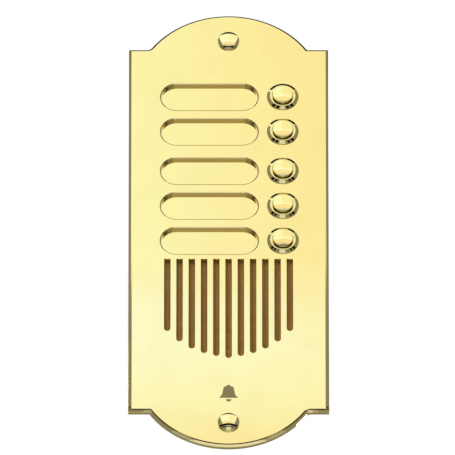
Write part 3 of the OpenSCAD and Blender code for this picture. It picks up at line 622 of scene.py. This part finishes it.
# %% Weave the gauze
weave_pitch = 0.85
wire_half = 0.2
sheet_mid = (gauze_low.y + gauze_high.y) / 2
lift = (gauze_high.y - gauze_low.y) / 2 - wire_half * MM


def woven_wire(mesh, across, start, end, phase, upright):
    """Adds one wire at a place across the sheet, from start to end, weaving over and under."""
    steps = 4 * max(1, round((end - start) / (weave_pitch * MM)))
    rings = []
    for i in range(steps + 1):
        along = start + (end - start) * i / steps
        wave = lift * math.cos(math.pi * (along / (weave_pitch * MM) + phase))
        corners = []
        for side, out in ((1, 0), (0, 1), (-1, 0), (0, -1)):
            shift = across + side * wire_half * MM
            height = sheet_mid + wave + out * wire_half * MM
            spot = (shift, height, along) if upright else (along, height, shift)
            corners.append(mesh.verts.new(spot))
        rings.append(corners)
    for first, second in zip(rings, rings[1:]):
        for k in range(4):
            mesh.faces.new((first[k], first[(k + 1) % 4], second[(k + 1) % 4], second[k]))
    mesh.faces.new(rings[0])
    mesh.faces.new(reversed(rings[-1]))


weave = bmesh.new()
inset = wire_half * MM
for n in range(int((gauze_high.x - gauze_low.x) / (weave_pitch * MM))):
    x = gauze_low.x + (n + 0.5) * weave_pitch * MM
    woven_wire(weave, x, gauze_low.z + inset, gauze_high.z - inset, n, True)
for n in range(int((gauze_high.z - gauze_low.z) / (weave_pitch * MM))):
    z = gauze_low.z + (n + 0.5) * weave_pitch * MM
    woven_wire(weave, z, gauze_low.x + inset, gauze_high.x - inset, n + 1, False)
bmesh.ops.recalc_face_normals(weave, faces=weave.faces)
gauze_mesh = bpy.data.meshes.new("woven_gauze")
weave.to_mesh(gauze_mesh)
weave.free()
for face in gauze_mesh.polygons:
    face.use_smooth = True
gauze = bpy.data.objects.new("woven_gauze", gauze_mesh)
bpy.context.scene.collection.objects.link(gauze)
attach(gauze, "panel")
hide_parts("speaker_gauze")
print("gauze faces:", len(gauze_mesh.polygons))

# %% [markdown]
# ## Bronze wire, darkened
#
# The cloth is phosphor bronze left bare, so it has gone brown. Oxide covers most of the metal,
# which makes it half dull: less metallic than fresh wire, and rough.

# %% Browned bronze
bronze, tree = new_finish("oxidised_bronze")
place = add(tree, "TexCoord")
patch = add(tree, "TexNoise", {"Scale": per_mm(9), "Detail": 3}, {"Vector": place.outputs["Object"]})
crust = add(tree, "TexNoise", {"Scale": per_mm(0.4), "Detail": 2}, {"Vector": place.outputs["Object"]})
colour = add(tree, "MixRGB", {"Color1": linear("#f0c070"), "Color2": linear("#cf9c55")},
             {"Fac": patch.outputs["Fac"]})
relief = add(tree, "Bump", {"Strength": 0.3, "Distance": 0.03 * MM}, {"Height": crust.outputs["Fac"]})
metal = add(tree, "BsdfPrincipled", {"Metallic": 0.25, "Roughness": 0.5},
            {"Base Color": colour.outputs["Color"], "Normal": relief.outputs["Normal"]})
add(tree, "OutputMaterial", {}, {"Surface": metal.outputs["BSDF"]})
gauze_mesh.materials.append(bronze)

# %% [markdown]
# ## Springs of round wire
#
# Under each cap sits a small compression spring. Its CAD solid is a coil with a coarse section. A
# spring is easy to draw better: one circle swept along a helix, with the end turns closed up. The
# radius and the length come from the box of the coil that it replaces.

# %% Wind the springs
spring_turns = 5
wire_r = 0.35
end_closing = 0.055
for name in every("button_spring"):
    low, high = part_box(name)
    centre = (low + high) / 2
    coil_r = (high.x - low.x) / 2 - wire_r * MM
    path = bpy.data.curves.new(name.replace("button_", "wound_"), "CURVE")
    path.dimensions = "3D"
    path.bevel_depth = wire_r * MM
    path.bevel_resolution = 4
    path.use_fill_caps = True
    count = spring_turns * 24
    line = path.splines.new("POLY")
    line.points.add(count)
    bottom, top = low.y + wire_r * MM, high.y - wire_r * MM
    for i in range(count + 1):
        t = i / count
        closed = t + end_closing * math.sin(2 * math.pi * t * 2) * (1 - 2 * abs(t - 0.5))
        angle = 2 * math.pi * spring_turns * t
        line.points[i].co = (centre.x + coil_r * math.cos(angle), bottom + (top - bottom) * closed,
                             centre.z + coil_r * math.sin(angle), 1)
    shape = bpy.data.objects.new("wound_spring_source", path)
    bpy.context.scene.collection.objects.link(shape)
    wound = bpy.data.meshes.new_from_object(shape.evaluated_get(bpy.context.evaluated_depsgraph_get()))
    bpy.data.objects.remove(shape)
    for face in wound.polygons:
        face.use_smooth = True
    wound.materials.clear()
    wound.materials.append(music_wire)
    spring = bpy.data.objects.new(name.replace("button_", "wound_"), wound)
    bpy.context.scene.collection.objects.link(spring)
    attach(spring, "panel")
    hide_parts(name)
    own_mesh(spring)
print("springs: coil radius", round(coil_r / MM, 2), "mm, length", round((high.y - low.y) / MM, 2), "mm")

# %% [markdown]
# ## The stage
#
# A mirror-like object is lit by what it reflects. So the studio is a few large plain cards. A wide
# white one high in front fills the plate, which makes polished brass read as pale gold. A dark
# one overhead and a narrow dark bar in front give the domes and rims their black lines: without
# them, the edges would melt into the face. Pale cards low in front light the edges that point down,
# and a dim one between them keeps the walls of the windows brown. None of the cards is seen by the
# camera itself, so that they can stand anywhere. The softbox stands where the plate mirrors the
# camera. Its sixteen tints, eight up each side, are no real lamp's: they were fitted to
# colours measured at thirty spots on the plate. One plain white would be the honest studio card.

# %% Camera
tilt = math.radians(35)
camera_reach = 13.144
look = Vector((0, math.cos(tilt), math.sin(tilt)))
up = Vector((0, -math.sin(tilt), math.cos(tilt)))
plate_mid = Vector(((plate_low.x + plate_high.x) / 2, plate_high.y, (plate_low.z + plate_high.z) / 2))
target = plate_mid + Vector((-0.7 * MM, 0, 0)) + up * 3.10 * MM
lens = bpy.data.cameras.new("camera")
lens.lens = 1600
lens.sensor_width = 36
lens.clip_end = 100
camera = bpy.data.objects.new("camera", lens)
camera.location = target - look * camera_reach
camera.rotation_euler = Matrix((Vector((1, 0, 0)), up, -look)).transposed().to_euler()
bpy.context.scene.collection.objects.link(camera)
bpy.context.scene.camera = camera
print("camera distance", round((camera.location - target).length, 3), "m")


# %% Cards
def card(name, centre, facing, half_w, half_h, level, colour="#ffffff", upward=(0, 0, 1)):
    """A flat card that glows at a level. It faces a point, and only mirrors and light can see it."""
    normal = (Vector(facing) - Vector(centre)).normalized()
    side = Vector(upward).cross(normal).normalized()
    rise = normal.cross(side)
    mesh = bpy.data.meshes.new(name)
    corners = [Vector(centre) + side * half_w * a + rise * half_h * b
               for a, b in ((-1, -1), (1, -1), (1, 1), (-1, 1))]
    mesh.from_pydata(corners, [], [(0, 1, 2, 3)])
    made, tree = new_finish(name)
    glow = add(tree, "Emission", {"Color": linear(colour), "Strength": level})
    add(tree, "OutputMaterial", {}, {"Surface": glow.outputs["Emission"]})
    mesh.materials.append(made)
    piece = bpy.data.objects.new(name, mesh)
    piece.visible_camera = False
    piece.visible_shadow = False
    bpy.context.scene.collection.objects.link(piece)
    return piece


mirror = Vector((0, -math.cos(tilt), math.sin(tilt)))
rise = Vector((0, math.sin(tilt), math.cos(tilt)))
distance = 1.2
low_edge, high_edge = math.tan(math.radians(-27)), math.tan(math.radians(40))
softbox_mid = mirror * distance + rise * distance * (low_edge + high_edge) / 2
softbox = card("softbox", softbox_mid, (0, 0, 0), 0.6 * distance,
               distance * (high_edge - low_edge) / 2, 1.44)
tree = softbox.data.materials[0].node_tree
place = add(tree, "TexCoord")
axes = add(tree, "SeparateXYZ", {}, {"Vector": place.outputs["Object"]})
mirrored_half, mirrored_low, mirrored_high = 0.065, 0.573, 0.803
across = add(tree, "MapRange", {"From Min": -mirrored_half, "From Max": mirrored_half},
             {"Value": axes.outputs["X"]})
upward = add(tree, "MapRange", {"From Min": mirrored_low, "From Max": mirrored_high},
             {"Value": axes.outputs["Z"]})
heights = (0.03, 0.09, 0.13, 0.19, 0.3, 0.41, 0.5, 1)
left_tints = ("#e0d3b6", "#e0dec8", "#e0e7dc", "#e0ebeb", "#e0f1ff", "#e0eeff", "#e0ebe4", "#e0e9da")
right_tints = ("#e0d3b5", "#e0d8bc", "#e0e2d1", "#e0e9e2", "#e0ecf2", "#e0e7e4", "#e0e0c8", "#e0dec5")
sides = []
for tints in (left_tints, right_tints):
    stops = list(zip(heights, tints))
    ramp = add(tree, "ValToRGB", {}, {"Fac": upward.outputs[0]})
    for spot, tint in stops[1:-1]:
        ramp.color_ramp.elements.new(spot).color = linear(tint)
    ramp.color_ramp.elements[0].color = linear(stops[0][1])
    ramp.color_ramp.elements[0].position = heights[0]
    ramp.color_ramp.elements[-1].color = linear(stops[-1][1])
    sides.append(ramp.outputs["Color"])
blend = add(tree, "MixRGB", {}, {"Fac": across.outputs[0], "Color1": sides[0], "Color2": sides[1]})
tree.links.new(blend.outputs["Color"], tree.nodes["Emission"].inputs["Color"])
overhead = card("dark_ceiling", (0, 0.45, 1.1), (0, 0.45, 0), 1.6, 0.75, 0.004, upward=(0, 1, 0))
overhead.visible_diffuse = False
bar = card("dark_bar", (0, -0.895, 0.0375), (0, -0.68, -0.17), 1.0, 0.105, 0.002)
bar.visible_diffuse = False
glow_card = card("low_card", (0, -1.05, -0.95), (0, 0, -0.95), 2.2, 0.16, 0.88)
dim_card = card("dim_card", (0, -1.05, -0.675), (0, 0, -0.675), 1.0, 0.095, 0.45)
front_card = card("front_card", (0, -1.3, 0.05), (0, 0, 0.05), 0.3, 0.3, 0.75)
spot_card = card("spot_card", (0, -1.05, -0.38), (0, 0, -0.38), 0.2, 0.18, 0.8)
slot_bar = card("dark_strip", (0, -1.0, -0.138), (0, 0, -0.138), 1.0, 0.04, 0.002)
slot_bar.visible_diffuse = False
cards = (softbox, overhead, bar, slot_bar, glow_card, dim_card, front_card, spot_card)
print("cards:", [piece.name for piece in cards])

# %% [markdown]
# ## Soft lights, the floor and the background
#
# Two large area lights keep the back and the sides readable from any angle, and a smaller one to
# the left gives the slits a lit side and a shaded side. The floor is far below, plain and pale, and
# what lies beyond it is white to the camera, while mirrors see a dim grey room.

# %% Lights


def area_light(name, place, aim, size, power, in_mirrors=True):
    """A square soft light that points at a spot."""
    data = bpy.data.lights.new(name, "AREA")
    data.size = size
    data.energy = power
    lamp = bpy.data.objects.new(name, data)
    lamp.location = place
    lamp.rotation_euler = (Vector(aim) - Vector(place)).to_track_quat("-Z", "Y").to_euler()
    lamp.visible_camera = False
    lamp.visible_glossy = in_mirrors
    bpy.context.scene.collection.objects.link(lamp)
    return lamp


area_light("side_key", (-0.85, -1.5, 0.6), (0, 0, -0.05), 0.12, 9, in_mirrors=False)
area_light("rear_left", (-1.6, 1.9, 0.9), (0, 0.03, 0), 1.2, 38)
area_light("rear_right", (1.7, 1.6, 0.3), (0, 0.03, 0), 1.0, 22)

# %% Floor and background
floor_mesh = bpy.data.meshes.new("floor")
reach, drop = 60, 8
floor_mesh.from_pydata([(-reach, -reach, -drop), (reach, -reach, -drop), (reach, reach, -drop),
                        (-reach, reach, -drop)], [], [(0, 1, 2, 3)])
floor = bpy.data.objects.new("floor", floor_mesh)
paint, tree = new_finish("matt_floor_paint")
place = add(tree, "TexCoord")
speckle = add(tree, "TexNoise", {"Scale": 3, "Detail": 3}, {"Vector": place.outputs["Object"]})
colour = add(tree, "MixRGB", {"Color1": linear("#f2f1ee"), "Color2": linear("#edebe7")},
             {"Fac": speckle.outputs["Fac"]})
body = add(tree, "BsdfPrincipled", {"Roughness": 0.9}, {"Base Color": colour.outputs["Color"]})
add(tree, "OutputMaterial", {}, {"Surface": body.outputs["BSDF"]})
floor_mesh.materials.append(paint)
bpy.context.scene.collection.objects.link(floor)
floor.visible_glossy = False

room = bpy.data.worlds.new("studio")
bpy.context.scene.world = room
room.use_nodes = True
tree = room.node_tree
tree.nodes.clear()
ray = add(tree, "LightPath")
tone = add(tree, "MixRGB", {"Color1": (0.27, 0.26, 0.215, 1), "Color2": (1, 1, 1, 1)},
           {"Fac": ray.outputs["Is Camera Ray"]})
sky = add(tree, "Background", {"Strength": 1}, {"Color": tone.outputs["Color"]})
add(tree, "OutputWorld", {}, {"Surface": sky.outputs["Background"]})
bpy.context.scene.view_settings.view_transform = "Standard"
bpy.context.scene.view_settings.look = "None"
